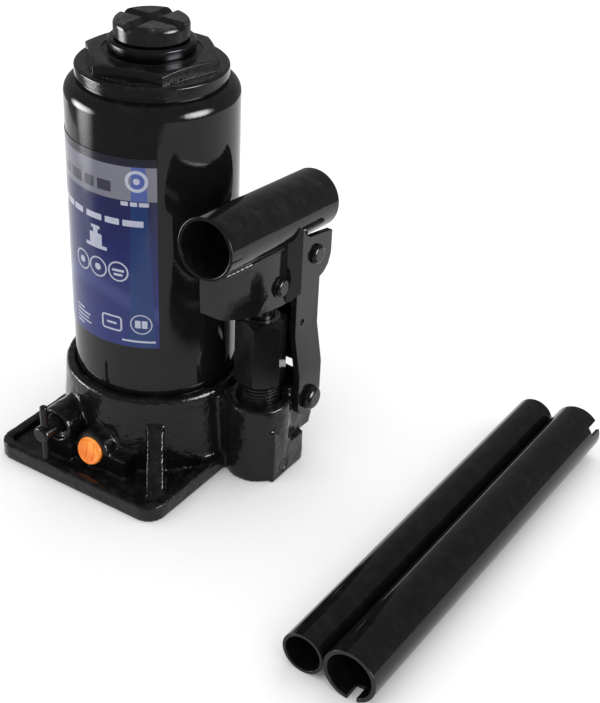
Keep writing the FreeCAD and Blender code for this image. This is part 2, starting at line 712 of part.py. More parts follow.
def link_plate(side):
    """side is 1 for the plate away from the tank and -1 for the one beside it."""
    inner, outer = d.linkInner, d.linkInner + d.linkThickness
    top, bottom = d.linkZ + d.linkHalfWidth + 1.0, d.lugZ - d.linkHalfWidth - 1.0
    section = [(inner, top), (outer, top), (outer, d.bendTop),
               (outer + d.linkSpread, d.bendBottom), (outer + d.linkSpread, bottom),
               (inner + d.linkSpread, bottom), (inner + d.linkSpread, d.bendBottom + 0.5),
               (inner, d.bendTop + 0.5)]
    strip = prism("strip", [(x * side, z) for x, z in section], d.linkHalfWidth * 2, "XZ",
                  (pumpX, d.linkY + d.linkHalfWidth, 0))
    span = (outer + d.linkSpread + OVER) * 2
    start = pumpX - span / 2
    low, wide, narrow = d.lugZ, d.linkHalfWidth, d.linkTip
    taper = d.linkZ - d.linkTaper
    sides = prism("sides", [(d.linkY - wide, low), (d.linkY + wide, low),
                            (d.linkY + wide, taper), (d.linkY + narrow, d.linkZ),
                            (d.linkY - narrow, d.linkZ), (d.linkY - wide, taper)],
                  span, "YZ", (start, 0, 0))
    shape = fuse([sides, cylinder(wide, span, (start, d.linkY, low), ALONG_X),
                  cylinder(narrow, span, (start, d.linkY, d.linkZ), ALONG_X)])
    holes = [cylinder(d.lugPinRadius + d.pinGap, span, (start, d.linkY, d.lugZ), ALONG_X),
             cylinder(d.pinRadius + d.pinGap, span, (start, d.linkY, d.linkZ), ALONG_X)]
    dimple = cylinder(d.dimpleRadius, 1.0, (pumpX + (outer - 0.5) * side - 0.5, d.linkY - 4.0,
                                            d.bendTop + 6.0), ALONG_X)
    return cut(common(strip, shape), holes + [dimple])


def link_web():
    """The back of the link, which joins its two plates."""
    upper, lower = d.linkInner - 0.02, d.linkInner + d.linkSpread - 0.02
    right = [(lower, d.linkWebFoot), (lower, d.bendBottom), (upper, d.bendTop + 0.6),
             (upper, d.linkWebTop)]
    left = [(-x, z) for x, z in reversed(right)]
    return prism("web", right + left, d.linkWeb, "XZ",
                 (pumpX, d.linkY + d.linkHalfWidth, 0))


def bracket():
    """Folded plate under the socket: a narrow nose, cheeks at the pump and ears at the link."""
    t = d.sheet
    inner = d.cheekHalf - t
    right = [(d.noseHalf, d.noseY), (d.cheekHalf, d.shoulderY), (d.cheekHalf, d.joggleStart),
             (earOuter, d.joggleEnd), (earOuter, d.bracketBack), (earInner, d.bracketBack),
             (earInner, d.joggleEnd + 1.8), (inner, d.joggleStart + 2.1),
             (inner, d.shoulderY + 0.6), (d.noseHalf - t + 0.6, d.noseY + t)]
    left = [(-x, y) for x, y in reversed(right)]
    plan = prism("plan", right + left, 46.0, "XY", (pumpX, 0, 88.0))
    side = [(-40.5, 130.0), (-39.0, 123.0), (-37.6, 104.6), (-34.5, 103.0), (-27.0, 100.7),
            (-15.0, 97.9), (-4.6, 95.3), (5.0, 93.4), (8.3, 93.2), (9.5, 95.0), (10.6, 98.0),
            (12.2, 101.0), (26.0, 101.0), (30.5, 102.4), (34.0, 105.2), (35.9, 109.6),
            (36.8, 113.0), (36.8, 122.1), (17.0, 126.0), (13.5, 128.5), (9.5, 134.5),
            (-40.5, 134.5)]
    width = (earOuter + OVER) * 2
    profile = prism("side", side, width, "YZ", (pumpX - width / 2, 0, 0))
    start = pumpX - width / 2
    tools = [socket_bar(d.socketRadius + 0.02),
             cylinder(d.pinRadius + d.pinGap, width, (start, d.linkY, d.linkZ), ALONG_X),
             cylinder(d.pinRadius + d.pinGap, width, (start, d.pumpY, d.pinZ), ALONG_X)]
    return cut(common(plan, profile), tools)


def socket_bar(radius, past=0.0):
    """A round bar on the handle socket's sloping line, running past each of its ends."""
    tilt = math.radians(d.socketTilt.value)
    return cylinder(radius, d.socketLength + past * 2,
                    (pumpX, -d.socketFront - past * math.cos(tilt),
                     d.socketZ + past * math.sin(tilt)),
                    Rotation(Vector(1, 0, 0), -d.socketTilt.value) * ALONG_Y)


def socket_tube():
    return cut(socket_bar(d.socketRadius), [socket_bar(d.socketRadius - d.socketWall, OVER)])


# ---------------------------------------------------------------- valves
def seat_rise(hole):
    """How far a ball's centre stands from the edge of the hole that it closes."""
    return math.sqrt(d.ballRadius.value ** 2 - as_size(hole).value ** 2)


def release_stem():
    fit = d.valveBore - 0.08
    tip = d.valveSeatY + seat_rise(d.oilHole - 0.4) + d.ballRadius + 0.05
    groove = valveFace - 8.0
    body = lathe("stem", [(0, tip), (2.0, tip), (3.4, tip + 2.4), (fit, tip + 3.6), (fit, groove),
                          (fit - 1.0, groove), (fit - 1.0, groove + 2.2), (fit, groove + 2.2),
                          (fit, valveFace - 3.0), (d.valveHead, valveFace - 2.6),
                          (d.valveHead, valveEnd), (0, valveEnd)],
                 (d.valveX, 0, d.valveZ), TO_FRONT)
    soften(body, "Fillet", 1.6, ring_edge(d.valveHead, valveEnd))
    half = d.crossPinLength / 2
    hole = cylinder(d.crossPin, d.crossPinLength,
                    (d.valveX, -crossPinY, d.valveZ - half))
    return cut(body, [hole])


def release_ring():
    section = doc.addObject("Part::Torus", "Ring")
    bind(section, "Radius1", d.valveBore - 0.56)
    bind(section, "Radius2", d.ringSection / 2)
    place(section, (d.valveX, -valveFace + 8.0 - 1.1, d.valveZ), TO_FRONT)
    return section


def cross_pin():
    half = d.crossPinLength / 2
    pin = lathe("cross", [(0, -half), (d.crossPin, -half), (d.crossPin, half), (0, half)],
                (d.valveX, -crossPinY, d.valveZ))
    for end in (-half, half):
        soften(pin, "Chamfer", 0.5, ring_edge(d.crossPin, end))
    return pin


def safety_plug():
    stem = plugFace - 2.0
    plug = lathe("plug", [(0, stem), (d.reliefBore - 0.1, stem), (d.reliefBore - 0.1, plugFace),
                          (d.plugRadius, plugFace), (d.plugRadius, plugFace + d.plugDome),
                          (0, plugFace + d.plugDome)], (d.plugX, 0, d.plugZ), TO_FRONT)
    return soften(plug, "Fillet", d.plugDome * 0.6,
                  ring_edge(d.plugRadius, plugFace + d.plugDome))


def relief_pieces():
    seat, x, z = d.reliefSeatY.value, d.plugX.value, d.plugZ.value
    centre = seat + seat_rise(d.oilHole)
    ball = sphere(d.ballRadius, (x, -centre, z))
    screw_start = plugFace - 2.2 - d.reliefScrew
    screw = lathe("relief_screw", [(0, screw_start), (d.reliefBore - 0.05, screw_start),
                                   (d.reliefBore - 0.05, screw_start + d.reliefScrew),
                                   (2.4, screw_start + d.reliefScrew),
                                   (2.4, screw_start + d.reliefScrew - 3.0),
                                   (0, screw_start + d.reliefScrew - 3.0)],
                  (d.plugX, 0, d.plugZ), TO_FRONT)
    wire = d.wireRadius.value
    spring = coil("relief_spring", 2.4, wire, centre + 2.6, screw_start.value - wire - 0.05, 4,
                  (x, 0, z), TO_FRONT)
    return ball, spring, screw


def discharge_pieces():
    x, y = d.dischargeX, d.dischargeY
    centre = d.chamberTop - seat_rise(d.oilHole - 0.4)
    ball = sphere(d.ballRadius, (x, y, centre))
    plug = ring("plug", 1.6, d.chamberRadius - 0.05, 0.6, 3.0, (x, y, 0))
    cap = cylinder(d.chamberRadius - 0.05, 1.6, (x, y, 3.0))
    wire = d.wireRadius.value
    spring = coil("discharge_spring", 2.4, wire, 4.65 + wire, centre.value - 2.6, 3,
                  (x.value, y.value, 0), UP)
    return ball, spring, fuse([plug, cap])


# ---------------------------------------------------------------- handle rods
def rod_tube(radius, wall, length, x, y, notches):
    """A tube lying on the floor along Y; notches are angles at its front and back ends."""
    half = length / 2
    tools = [cylinder(radius - wall, length + OVER * 2, (0, 0, -half - OVER))]
    for angle, end in notches:
        turn = math.radians(angle)
        start = -half - OVER if end < 0 else half - d.notchDepth
        tools.append(block(radius + OVER, d.notchWidth, d.notchDepth + OVER,
                           (d.notchWidth / 2 * math.sin(turn),
                            d.notchWidth / -2 * math.cos(turn), start),
                           Rotation(Vector(0, 0, 1), angle)))
    tube = cut(cylinder(radius, length, (0, 0, -half)), tools)
    place(tube, (x, y, radius), Rotation(Vector(0, 0, 1), -d.rodYaw.value) * ALONG_Y)
    return tube


# ---------------------------------------------------------------- assembly
def build():
    node(casting(), "base_casting")
    node(tank(), "oil_tank")
    node(ring("gasket", d.tankRadius - d.tankWall, d.tankRadius, d.seatHeight, tankBottom),
         "tank_bottom_gasket")
    node(ring("gasket", d.skirtRadius + 0.2, d.topGasketRadius, tankTop, flangeBottom),
         "tank_top_gasket")
    node(filler_plug(), "oil_filler_plug")
    node(label_skin(), "tank_label")
    node(top_nut(), "top_nut")
    node(ring("cylinder", d.cylinderBore, d.cylinderRadius, cylinderBottom, roofUnder - 0.1),
         "pressure_cylinder")
    node(ring("washer", d.cylinderBore, d.cylinderRadius, d.cylinderSeat, cylinderBottom),
         "cylinder_washer")
    node(ring("wiper", d.ramRadius + 0.05, d.wiperRadius - 0.02, nutTop - d.wiperHeight,
              nutTop - 0.5), "ram_wiper")

    node(ram(), "ram")
    nut_top = d.ramBottom + d.pistonNutHeight
    node(cut(hexagon(d.pistonNutFlats, d.pistonNutHeight, (0, 0, d.ramBottom), 0),
             [cylinder(d.spigotRadius + 0.02, d.pistonNutHeight + OVER * 2,
                       (0, 0, d.ramBottom - OVER))]), "piston_nut")
    node(ring("washer", d.spigotRadius + 0.05, d.cylinderBore - 2.5, nut_top,
              nut_top + d.pistonWasher), "piston_washer")
    node(ring("cup", d.spigotRadius + 0.03, d.cylinderBore - 0.05, nut_top + d.pistonWasher,
              landBottom), "piston_cup_seal")
    node(extension_screw(), "extension_screw")
    stop, clip = screw_pieces()
    node(stop, "screw_stop_ring")
    node(clip, "screw_stop_clip")

    node(pump_cylinder(), "pump_cylinder")
    node(ring("washer", d.plungerRadius + 0.6, d.pumpThread - 0.1, d.pumpSeat,
              d.pumpSeat + d.pumpWasher, (pumpX, d.pumpY, 0)), "pump_washer")
    seal_low = d.pumpHexTop - d.sealHeight - d.sealCover
    node(ring("seal", d.plungerRadius + 0.05, d.sealRadius - 0.03, seal_low,
              seal_low + d.sealHeight, (pumpX, d.pumpY, 0)), "plunger_seal")
    node(ring("gland", d.plungerRadius + 0.4, d.sealRadius - 0.03, seal_low + d.sealHeight,
              d.pumpHexTop, (pumpX, d.pumpY, 0)), "plunger_gland_ring")
    node(plunger(), "pump_plunger")

    lug_pin, lug_clip = headed_pin(d.lugPinRadius, lowerInner + d.linkThickness + 0.15, d.lugHead,
                                   d.lugHeadHeight, d.linkY, d.lugZ)
    node(lug_pin, "lug_pin")
    node(lug_clip, "lug_pin_clip")
    node(link_plate(1), "link_plate_outer")
    node(link_plate(-1), "link_plate_inner")
    node(link_web(), "link_back_web")
    link_pin, link_clip = headed_pin(d.pinRadius, earOuter, d.domeHead, d.domeHeight, d.linkY,
                                     d.linkZ)
    node(link_pin, "link_pin")
    node(link_clip, "link_pin_clip")
    node(socket_tube(), "handle_socket")
    node(bracket(), "socket_bracket")
    washer_end = d.cheekHalf + d.washerThickness
    plunger_pin, plunger_clip = headed_pin(d.pinRadius, washer_end, d.pinHead, d.pinHeadHeight,
                                           d.pumpY, d.pinZ)
    node(plunger_pin, "plunger_pin")
    node(plunger_clip, "plunger_pin_clip")
    for name, start, end in (("plunger_pin_washer_outer", d.cheekHalf, washer_end),
                             ("plunger_pin_washer_inner", -washer_end, -d.cheekHalf)):
        node(ring("washer", d.pinRadius + 0.03, d.washerRadius, start, end,
                  (pumpX, d.pumpY, d.pinZ), ALONG_X), name)

    node(release_stem(), "release_valve_stem")
    node(release_ring(), "release_valve_ring")
    node(cross_pin(), "release_cross_pin")
    node(sphere(d.ballRadius, (d.valveX, -d.valveSeatY - seat_rise(d.oilHole - 0.4), d.valveZ)),
         "release_ball")
    node(safety_plug(), "safety_valve_plug")
    ball, spring, screw = relief_pieces()
    node(ball, "safety_valve_ball")
    node(spring, "safety_valve_spring")
    node(screw, "safety_valve_screw")
    node(sphere(d.ballRadius, (pumpX, d.pumpY, VALVE_SEAT_Z + seat_rise(d.oilHole))),
         "suction_ball")
    node(cylinder(d.oilHole + 0.95, 5.6, (pumpBossSide - 5.95, d.pumpY, SUCTION_Z), ALONG_X),
         "suction_way_plug")
    node(cylinder(d.screenRadius, d.screenHeight, (d.suctionX, d.pumpY, d.seatHeight)),
         "suction_screen")
    ball, spring, plug = discharge_pieces()
    node(ball, "discharge_ball")
    node(spring, "discharge_spring")
    node(plug, "discharge_plug")

    node(rod_tube(d.thinRodRadius, d.thinRodWall, d.thinRodLength, d.thinRodX, d.thinRodY, ()),
         "handle_rod_thin")
    node(rod_tube(d.thickRodRadius, d.thickRodWall, d.thickRodLength, d.thickRodX, d.thickRodY,
                  ((80.0, -1), (-32.0, 1))), "handle_rod_thick")


def check_and_write():
    doc.recompute()
    for item in doc.Objects:
        if "Invalid" in item.State or "Error" in item.State:
            raise RuntimeError("%s failed: %s" % (item.Label, item.State))
    os.makedirs("parts", exist_ok=True)
    for part in NODES:
        if part.Shape.isNull() or not part.Shape.isValid():
            raise RuntimeError("%s has no valid shape" % part.Label)
        part.Shape.exportStep("parts/%s.step" % part.Label)
    print("wrote %d sub-parts" % len(NODES))


build()
check_and_write()
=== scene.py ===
import json
import math

import bmesh
import bpy
import numpy as np
from mathutils import Matrix, Vector, noise


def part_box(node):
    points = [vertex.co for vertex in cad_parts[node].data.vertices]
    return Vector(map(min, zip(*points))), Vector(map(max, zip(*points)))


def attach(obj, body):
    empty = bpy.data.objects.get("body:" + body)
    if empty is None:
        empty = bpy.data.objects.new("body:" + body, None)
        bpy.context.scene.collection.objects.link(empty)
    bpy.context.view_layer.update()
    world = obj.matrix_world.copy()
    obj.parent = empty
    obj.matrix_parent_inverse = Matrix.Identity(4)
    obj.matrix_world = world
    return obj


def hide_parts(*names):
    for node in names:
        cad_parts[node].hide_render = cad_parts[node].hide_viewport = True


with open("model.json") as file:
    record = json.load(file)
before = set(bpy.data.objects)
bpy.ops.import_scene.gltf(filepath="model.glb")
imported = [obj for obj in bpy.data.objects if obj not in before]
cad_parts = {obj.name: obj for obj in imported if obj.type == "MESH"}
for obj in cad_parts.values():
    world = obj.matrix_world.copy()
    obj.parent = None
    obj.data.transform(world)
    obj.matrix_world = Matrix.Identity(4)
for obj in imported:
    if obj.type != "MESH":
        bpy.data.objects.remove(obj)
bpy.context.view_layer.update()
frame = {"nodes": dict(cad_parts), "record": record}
nodes = frame["nodes"]
scene = bpy.context.scene


# small helpers
def node(tree, kind, inputs=None, **settings):
    made = tree.nodes.new(kind)
    for name, value in settings.items():
        setattr(made, name, value)
    for socket, value in (inputs or {}).items():
        if isinstance(value, bpy.types.NodeSocket):
            tree.links.new(value, made.inputs[socket])
        else:
            made.inputs[socket].default_value = value
    return made


def sums(tree, operation, a, b=0.0, c=0.0, clamp=False):
    return node(tree, "ShaderNodeMath", {0: a, 1: b, 2: c}, operation=operation,
                use_clamp=clamp).outputs[0]


def blendColour(tree, factor, a, b, kind="MIX"):
    made = node(tree, "ShaderNodeMix", {0: factor, 6: a, 7: b}, data_type="RGBA", blend_type=kind)
    return made.outputs[2]


def ramp(tree, value, low, high, outLow=0.0, outHigh=1.0, smooth=True):
    made = node(tree, "ShaderNodeMapRange", {0: value, 1: low, 2: high, 3: outLow, 4: outHigh})
    made.interpolation_type = "SMOOTHSTEP" if smooth else "LINEAR"
    return made.outputs[0]


def newGroup(name, inputs, outputs):
    tree = bpy.data.node_groups.new(name, "ShaderNodeTree")
    for label, kind, value in inputs:
        made = tree.interface.new_socket(label, in_out="INPUT", socket_type="NodeSocket" + kind)
        made.default_value = value
    for label, kind in outputs:
        tree.interface.new_socket(label, in_out="OUTPUT", socket_type="NodeSocket" + kind)
    start = tree.nodes.new("NodeGroupInput")
    end = tree.nodes.new("NodeGroupOutput")
    return tree, start.outputs, end.inputs


def useGroup(tree, group, inputs):
    made = node(tree, "ShaderNodeGroup", None, node_tree=group)
    for socket, value in inputs.items():
        if isinstance(value, bpy.types.NodeSocket):
            tree.links.new(value, made.inputs[socket])
        else:
            made.inputs[socket].default_value = value
    return made.outputs


def place(tree):
    return node(tree, "ShaderNodeTexCoord").outputs["Object"]


def noiseOf(tree, where, scale, detail=2.0, rough=0.5, warp=0.0):
    made = node(tree, "ShaderNodeTexNoise", {"Vector": where, "Scale": scale, "Detail": detail,
                                             "Roughness": rough, "Distortion": warp})
    return made.outputs["Fac"]


# camera
cameraFacts = {"spot": (0.36285, -0.45216, 0.41153), "lens": 70.0, "sensor": 36.0,
               "turn": 31.68, "drop": 32.23, "roll": 2.86}


def addCamera(facts):
    a, e, r = (math.radians(facts[name]) for name in ("turn", "drop", "roll"))
    back = Vector((math.sin(a) * math.cos(e), -math.cos(a) * math.cos(e), math.sin(e)))
    right = Vector((math.cos(a), math.sin(a), 0))
    up = back.cross(right)
    x = right * math.cos(r) + up * math.sin(r)
    y = up * math.cos(r) - right * math.sin(r)
    data = bpy.data.cameras.new("jackCamera")
    data.lens, data.sensor_width = facts["lens"], facts["sensor"]
    data.sensor_fit, data.clip_start = "AUTO", 0.01
    camera = bpy.data.objects.new("jackCamera", data)
    camera.matrix_world = Matrix.Translation(facts["spot"]) @ Matrix(
        (x, y, back)).transposed().to_4x4()
    scene.collection.objects.link(camera)
    scene.camera = camera


addCamera(cameraFacts)
scene.view_settings.view_transform = "Standard"
print("camera is set")


# shared finishes
def makePaintSkin():
    tree, given, out = newGroup("paintSkin", [("Peel Size", "Float", 0.0015),
                                              ("Wave Size", "Float", 0.012),
                                              ("Wave", "Float", 1.0)],
                                [("Height", "Float"), ("Patch", "Float")])
    where = place(tree)
    peel = noiseOf(tree, where, sums(tree, "DIVIDE", 1.0, given["Peel Size"]), 1.0)
    wave = noiseOf(tree, where, sums(tree, "DIVIDE", 1.0, given["Wave Size"]), 2.0)
    tall = sums(tree, "MULTIPLY_ADD", wave, sums(tree, "MULTIPLY", given["Wave"], 6.0), peel)
    tree.links.new(tall, out["Height"])
    patch = noiseOf(tree, where, 90.0, 3.0, 0.6)
    tree.links.new(ramp(tree, patch, 0.35, 0.7), out["Patch"])
    return tree


def makeCastLumps():
    tree, given, out = newGroup("castLumps", [("Size", "Float", 0.003), ("Pits", "Float", 0.4)],
                                [("Height", "Float")])
    where = place(tree)
    scale = sums(tree, "DIVIDE", 1.0, given["Size"])
    lumps = noiseOf(tree, where, scale, 4.0, 0.55, 0.3)
    grain = noiseOf(tree, where, sums(tree, "MULTIPLY", scale, 3.7), 2.0, 0.6)
    pit = ramp(tree, grain, 0.30, 0.42, 1.0, 0.0)
    tall = sums(tree, "MULTIPLY_ADD", pit, sums(tree, "MULTIPLY", given["Pits"], -0.25), lumps)
    tree.links.new(tall, out["Height"])
    return tree


def makeDust():
    tree, given, out = newGroup("dust", [("Amount", "Float", 0.3), ("Size", "Float", 0.0009)],
                                [("Mask", "Float")])
    where = place(tree)
    scale = sums(tree, "DIVIDE", 1.0, given["Size"])
    specks = node(tree, "ShaderNodeTexVoronoi", {"Vector": where, "Scale": scale})
    dots = ramp(tree, specks.outputs["Distance"], 0.10, 0.22, 1.0, 0.0)
    chosen = noiseOf(tree, where, sums(tree, "MULTIPLY", scale, 0.31), 1.0)
    few = ramp(tree, chosen, 0.54, 0.66)
    normal = node(tree, "ShaderNodeNewGeometry").outputs["Normal"]
    rise = node(tree, "ShaderNodeSeparateXYZ", {0: normal}).outputs["Z"]
    upward = ramp(tree, rise, 0.25, 0.9, 0.12, 1.0)
    film = ramp(tree, noiseOf(tree, where, 160.0, 4.0, 0.65), 0.42, 0.75, 0.0, 0.35)
    both = sums(tree, "MULTIPLY_ADD", dots, few, film)
    worn = sums(tree, "MULTIPLY", both, upward)
    tree.links.new(sums(tree, "MULTIPLY", worn, given["Amount"], clamp=True), out["Mask"])
    return tree


def makeTurning():
    tree, given, out = newGroup("turningMarks", [("Pitch", "Float", 0.0004),
                                                 ("Streak", "Float", 0.5)],
                                [("Height", "Float"), ("Patch", "Float")])
    where = place(tree)
    split = node(tree, "ShaderNodeSeparateXYZ", {0: where})
    x, y, z = (split.outputs[axis] for axis in "XYZ")
    squares = sums(tree, "MULTIPLY_ADD", x, x, sums(tree, "MULTIPLY", y, y))
    out2 = sums(tree, "SQRT", squares)
    run = sums(tree, "DIVIDE", sums(tree, "ADD", z, out2), given["Pitch"])
    line = node(tree, "ShaderNodeTexNoise", {"W": run, "Scale": 1.0, "Detail": 2.0},
                noise_dimensions="1D").outputs["Fac"]
    tree.links.new(line, out["Height"])
    smear = noiseOf(tree, where, 240.0, 3.0, 0.6)
    patch = sums(tree, "MULTIPLY_ADD", smear, given["Streak"],
                 sums(tree, "MULTIPLY", line, 0.4))
    tree.links.new(patch, out["Patch"])
    return tree


paintSkin, castLumps, dustGroup, turningMarks = (
    makePaintSkin(), makeCastLumps(), makeDust(), makeTurning())


# materials
def newMaterial(name):
    made = bpy.data.materials.new(name)
    made.use_nodes = True
    tree = made.node_tree
    shader = tree.nodes["Principled BSDF"]
    return made, tree, shader


def enamel(name, facts):
    made, tree, shader = newMaterial(name)
    skin = useGroup(tree, paintSkin, {"Peel Size": facts["peel"], "Wave Size": facts["wave"],
                                      "Wave": facts["swell"]})
    height = skin["Height"]
    if facts["lump"]:
        lumps = useGroup(tree, castLumps, {"Size": facts["lump"], "Pits": facts["pits"]})
        height = sums(tree, "MULTIPLY_ADD", lumps["Height"], facts["lumpDepth"], height)
    dusty = useGroup(tree, dustGroup, {"Amount": facts["dust"], "Size": facts["speck"]})
    colour = blendColour(tree, skin["Patch"], facts["colour"], facts["tint"])
    colour = blendColour(tree, dusty["Mask"], colour, (0.32, 0.31, 0.29, 1))
    rough = sums(tree, "MULTIPLY_ADD", skin["Patch"], facts["roughVary"], facts["rough"])
    rough = sums(tree, "MULTIPLY_ADD", dusty["Mask"], 0.35, rough)
    bump = node(tree, "ShaderNodeBump", {"Height": height, "Strength": 1.0,
                                         "Distance": facts["depth"]})
    tree.links.new(colour, shader.inputs["Base Color"])
    tree.links.new(rough, shader.inputs["Roughness"])
    tree.links.new(bump.outputs["Normal"], shader.inputs["Normal"])
    shader.inputs["Specular IOR Level"].default_value = facts["gloss"]
    return made


paintFacts = {"peel": 0.0011, "wave": 0.016, "swell": 0.6, "lump": 0.0, "pits": 0.0,
              "lumpDepth": 0.0, "dust": 0.05, "speck": 0.0009,
              "colour": (0.0038, 0.0038, 0.0043, 1), "tint": (0.0052, 0.0050, 0.0056, 1),
              "rough": 0.055, "roughVary": 0.03, "depth": 0.000012, "gloss": 0.25}

tankPaint = enamel("tankEnamel", paintFacts)
stampedPaint = enamel("stampedEnamel", dict(paintFacts, depth=0.00002, dust=0.09, peel=0.0009,
                                            swell=1.2))
saddlePaint = enamel("saddleEnamel", dict(paintFacts, depth=0.00002, dust=0.42, rough=0.10,
                                          roughVary=0.06, speck=0.0016,
                                          colour=(0.006, 0.006, 0.0064, 1),
                                          tint=(0.0095, 0.0094, 0.0098, 1)))
turnedPaint = enamel("turnedEnamel", dict(paintFacts, depth=0.000016, dust=0.12, rough=0.12,
                                          speck=0.0012))
nutPaint = enamel("nutEnamel", dict(paintFacts, lump=0.0026, pits=0.9, lumpDepth=0.9,
                                    depth=0.000045, dust=0.10, speck=0.0013, rough=0.09))
rodPaint = enamel("rodEnamel", dict(paintFacts, depth=0.00001, dust=0.04, rough=0.075,
                                    peel=0.0016))
castPaint = enamel("castingEnamel", dict(paintFacts, lump=0.0032, pits=0.5, lumpDepth=3.2,
                                         depth=0.00008, dust=0.10, rough=0.07))


def metal(name, facts):
    made, tree, shader = newMaterial(name)
    marks = useGroup(tree, turningMarks, {"Pitch": facts["pitch"], "Streak": 0.6})
    colour = blendColour(tree, marks["Patch"], facts["dark"], facts["light"])
    rough = sums(tree, "MULTIPLY_ADD", marks["Patch"], facts["vary"], facts["rough"])
    bump = node(tree, "ShaderNodeBump", {"Height": marks["Height"], "Strength": 1.0,
                                         "Distance": facts["depth"]})
    tree.links.new(colour, shader.inputs["Base Color"])
    tree.links.new(rough, shader.inputs["Roughness"])
    tree.links.new(bump.outputs["Normal"], shader.inputs["Normal"])
    shader.inputs["Metallic"].default_value = 1.0
    return made


ramSteel = metal("oiledRamSteel", {"pitch": 0.0003, "dark": (0.02, 0.02, 0.022, 1),
                                   "light": (0.05, 0.05, 0.054, 1), "rough": 0.14, "vary": 0.12,
                                   "depth": 0.000004})
brightSteel = metal("brightSteel", {"pitch": 0.00025, "dark": (0.38, 0.38, 0.39, 1),
                                    "light": (0.62, 0.62, 0.63, 1), "rough": 0.2, "vary": 0.2,
                                    "depth": 0.000006})
copperSheet = metal("dullCopper", {"pitch": 0.0006, "dark": (0.45, 0.20, 0.11, 1),
                                   "light": (0.72, 0.38, 0.22, 1), "rough": 0.35, "vary": 0.2,
                                   "depth": 0.000006})


def rubber(name):
    made, tree, shader = newMaterial(name)
    skin = useGroup(tree, paintSkin, {"Peel Size": 0.0005, "Wave Size": 0.004, "Wave": 0.5})
    dusty = useGroup(tree, dustGroup, {"Amount": 0.15, "Size": 0.0007})
    colour = blendColour(tree, dusty["Mask"], (0.006, 0.006, 0.0065, 1), (0.1, 0.095, 0.09, 1))
    bump = node(tree, "ShaderNodeBump", {"Height": skin["Height"], "Strength": 1.0,
                                         "Distance": 0.00002})
    tree.links.new(colour, shader.inputs["Base Color"])
    rough = sums(tree, "MULTIPLY_ADD", skin["Patch"], 0.15, 0.35)
    tree.links.new(rough, shader.inputs["Roughness"])
    tree.links.new(bump.outputs["Normal"], shader.inputs["Normal"])
    shader.inputs["Specular IOR Level"].default_value = 0.3
    return made


blackRubber = rubber("oilSealRubber")
print("finishes are built")


def paintNode(name, material):
    thing = nodes[name]
    thing.data.materials.clear()
    thing.data.materials.append(material)


finishes = {
    tankPaint: ("oil_tank", "tank_bottom_gasket", "tank_top_gasket"),
    stampedPaint: ("socket_bracket", "link_plate_outer", "link_plate_inner", "link_back_web",
                   "handle_socket", "lug_pin", "link_pin", "plunger_pin",
                   "plunger_pin_washer_outer", "plunger_pin_washer_inner", "link_pin_clip",
                   "plunger_pin_clip", "lug_pin_clip"),
    saddlePaint: ("extension_screw",),
    turnedPaint: ("release_valve_stem", "release_cross_pin", "pump_cylinder"),
    nutPaint: ("top_nut",),
    rodPaint: ("handle_rod_thin", "handle_rod_thick"),
    castPaint: ("base_casting", "suction_way_plug"),
    ramSteel: ("ram", "pump_plunger"),
    brightSteel: ("pressure_cylinder", "piston_nut", "piston_washer", "screw_stop_ring",
                  "screw_stop_clip", "release_ball", "safety_valve_ball",
                  "safety_valve_spring", "safety_valve_screw", "suction_ball",
                  "discharge_ball", "discharge_spring", "discharge_plug",
                  "plunger_gland_ring"),
    blackRubber: ("oil_filler_plug", "ram_wiper",
                  "plunger_seal", "piston_cup_seal", "release_valve_ring"),
    copperSheet: ("cylinder_washer", "pump_washer", "suction_screen"),
}
for material, names in finishes.items():
    for name in names:
        paintNode(name, material)


# softened edges on the steel pieces
joinGap = 0.000005      # points closer than this are one point

softEdges = {
    "oil_tank": 0.0002, "top_nut": 0.0005, "extension_screw": 0.0004, "ram": 0.0003,
    "handle_socket": 0.0003, "socket_bracket": 0.0006, "link_plate_outer": 0.0007,
    "link_plate_inner": 0.0007, "link_back_web": 0.0003, "pump_cylinder": 0.0004,
    "pump_plunger": 0.0004,
    "lug_pin": 0.0003, "link_pin": 0.0003, "plunger_pin": 0.0003,
    "plunger_pin_washer_outer": 0.00015, "plunger_pin_washer_inner": 0.00015,
    "release_valve_stem": 0.0003, "release_cross_pin": 0.0003, "handle_rod_thin": 0.0003,
    "handle_rod_thick": 0.0003, "link_pin_clip": 0.00015, "plunger_pin_clip": 0.00015,
    "lug_pin_clip": 0.00015,
}


def softenNode(thing, width):
    weld = thing.modifiers.new("weld", "WELD")
    weld.merge_threshold = joinGap
    flat = thing.modifiers.new("flat", "DECIMATE")
    flat.decimate_type, flat.angle_limit = "DISSOLVE", math.radians(1.0)
    edge = thing.modifiers.new("edge", "BEVEL")
    edge.width, edge.segments, edge.limit_method = width, 3, "ANGLE"
    edge.angle_limit, edge.use_clamp_overlap = math.radians(30), True
    edge.harden_normals = False
    normals = thing.modifiers.new("normals", "WEIGHTED_NORMAL")
    normals.keep_sharp = True


for name, width in softEdges.items():
    nodes[name].data.shade_smooth()
    softenNode(nodes[name], width)
print("edges are softened")


# mesh makers
def newPiece(name, mesh, material, body):
    thing = bpy.data.objects.new(name, mesh)
    scene.collection.objects.link(thing)
    mesh.materials.clear()
    mesh.materials.append(material)
    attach(thing, body)
    return thing


def bakeModifiers(thing):
    bpy.context.view_layer.update()
    seen = thing.evaluated_get(bpy.context.evaluated_depsgraph_get())
    mesh = bpy.data.meshes.new_from_object(seen)
    thing.modifiers.clear()
    thing.data = mesh
    return mesh


